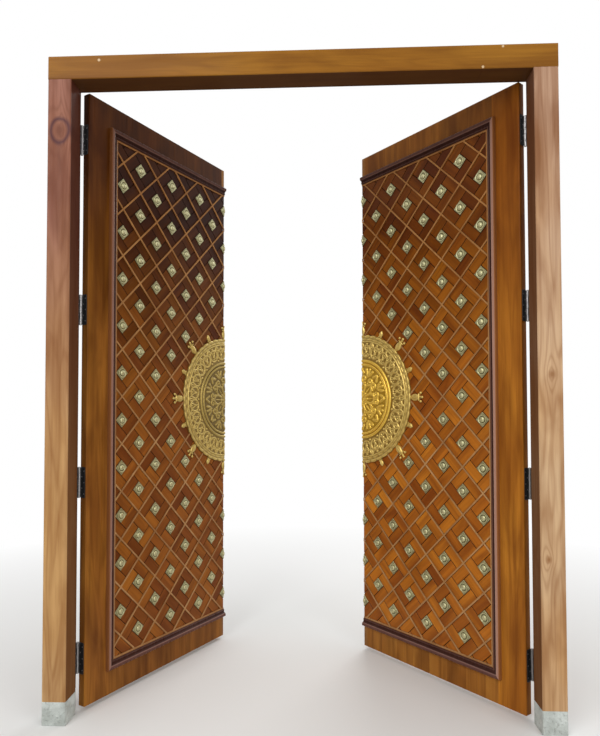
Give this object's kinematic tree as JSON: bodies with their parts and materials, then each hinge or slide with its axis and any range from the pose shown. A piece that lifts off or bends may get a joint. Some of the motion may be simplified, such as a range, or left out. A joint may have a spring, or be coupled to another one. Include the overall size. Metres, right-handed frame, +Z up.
{
  "type": "carved double-leaf entrance door with its frame",
  "caption": "Tall double-leaf wooden entrance door in its frame, with a diagonal lattice of brass bosses and a gilt medallion split between the leaves.",
  "frame": {"origin": "middle of the doorway on the floor, in the plane of the frame's front face", "axes": "+X to the right seen from outside, +Y into the building, +Z up"},
  "size_m": [2.4, 1.1213, 3.155],
  "materials": {
    "frame_wood": "varnished hardwood, orange-tan",
    "leaf_wood": "varnished hardwood, orange-brown",
    "lipping_wood": "varnished hardwood, pale",
    "core_wood": "varnished boards",
    "field_wood": "varnished boards in red-brown, purple-brown and yellow-brown",
    "moulding_wood": "dark stained moulding",
    "strip_wood": "pale varnished strips",
    "cement": "cast cement, grey",
    "boss_brass": "cast brass, aged",
    "medallion_gilt": "carved and gilded",
    "hinge_black": "black enamel",
    "hinge_steel": "bright steel"
  },
  "bodies": {
    "frame": {"head_beam": "frame_wood", "jamb_left": "frame_wood", "jamb_right": "frame_wood", "jamb_foot_left": "cement", "jamb_foot_right": "cement", "foot_dowels": "hinge_steel", "jamb_hinge_plates_left": "hinge_black", "jamb_hinge_plates_right": "hinge_black", "hinge_pins_left": "hinge_steel", "hinge_pins_right": "hinge_steel"},
    "left_leaf": {"left_hinge_stile": "leaf_wood", "left_bottom_rail": "leaf_wood", "left_top_rail": "leaf_wood", "left_meeting_lipping": "lipping_wood", "left_core_panel": "core_wood", "left_field_boards": "field_wood", "left_side_moulding": "moulding_wood", "left_bottom_moulding": "moulding_wood", "left_top_moulding": "moulding_wood", "left_lattice": "strip_wood", "left_bosses": "boss_brass", "left_medallion": "medallion_gilt", "left_leaf_hinge_plates": "hinge_black"},
    "right_leaf": {"right_hinge_stile": "leaf_wood", "right_bottom_rail": "leaf_wood", "right_top_rail": "leaf_wood", "right_meeting_lipping": "lipping_wood", "right_core_panel": "core_wood", "right_field_boards": "field_wood", "right_side_moulding": "moulding_wood", "right_bottom_moulding": "moulding_wood", "right_top_moulding": "moulding_wood", "right_lattice": "strip_wood", "right_bosses": "boss_brass", "right_medallion": "medallion_gilt", "right_leaf_hinge_plates": "hinge_black"}
  },
  "joints": [
    {"name": "left_leaf_swing", "type": "hinge", "parent": "frame", "child": "left_leaf", "pos_m": [-1.098, 0.15599, 1.5], "axis": [0, 0, 1], "range_deg": [-62, 33]},
    {"name": "right_leaf_swing", "type": "hinge", "parent": "frame", "child": "right_leaf", "pos_m": [1.098, 0.15599, 1.5], "axis": [0, 0, -1], "range_deg": [-50, 45]}
  ]
}
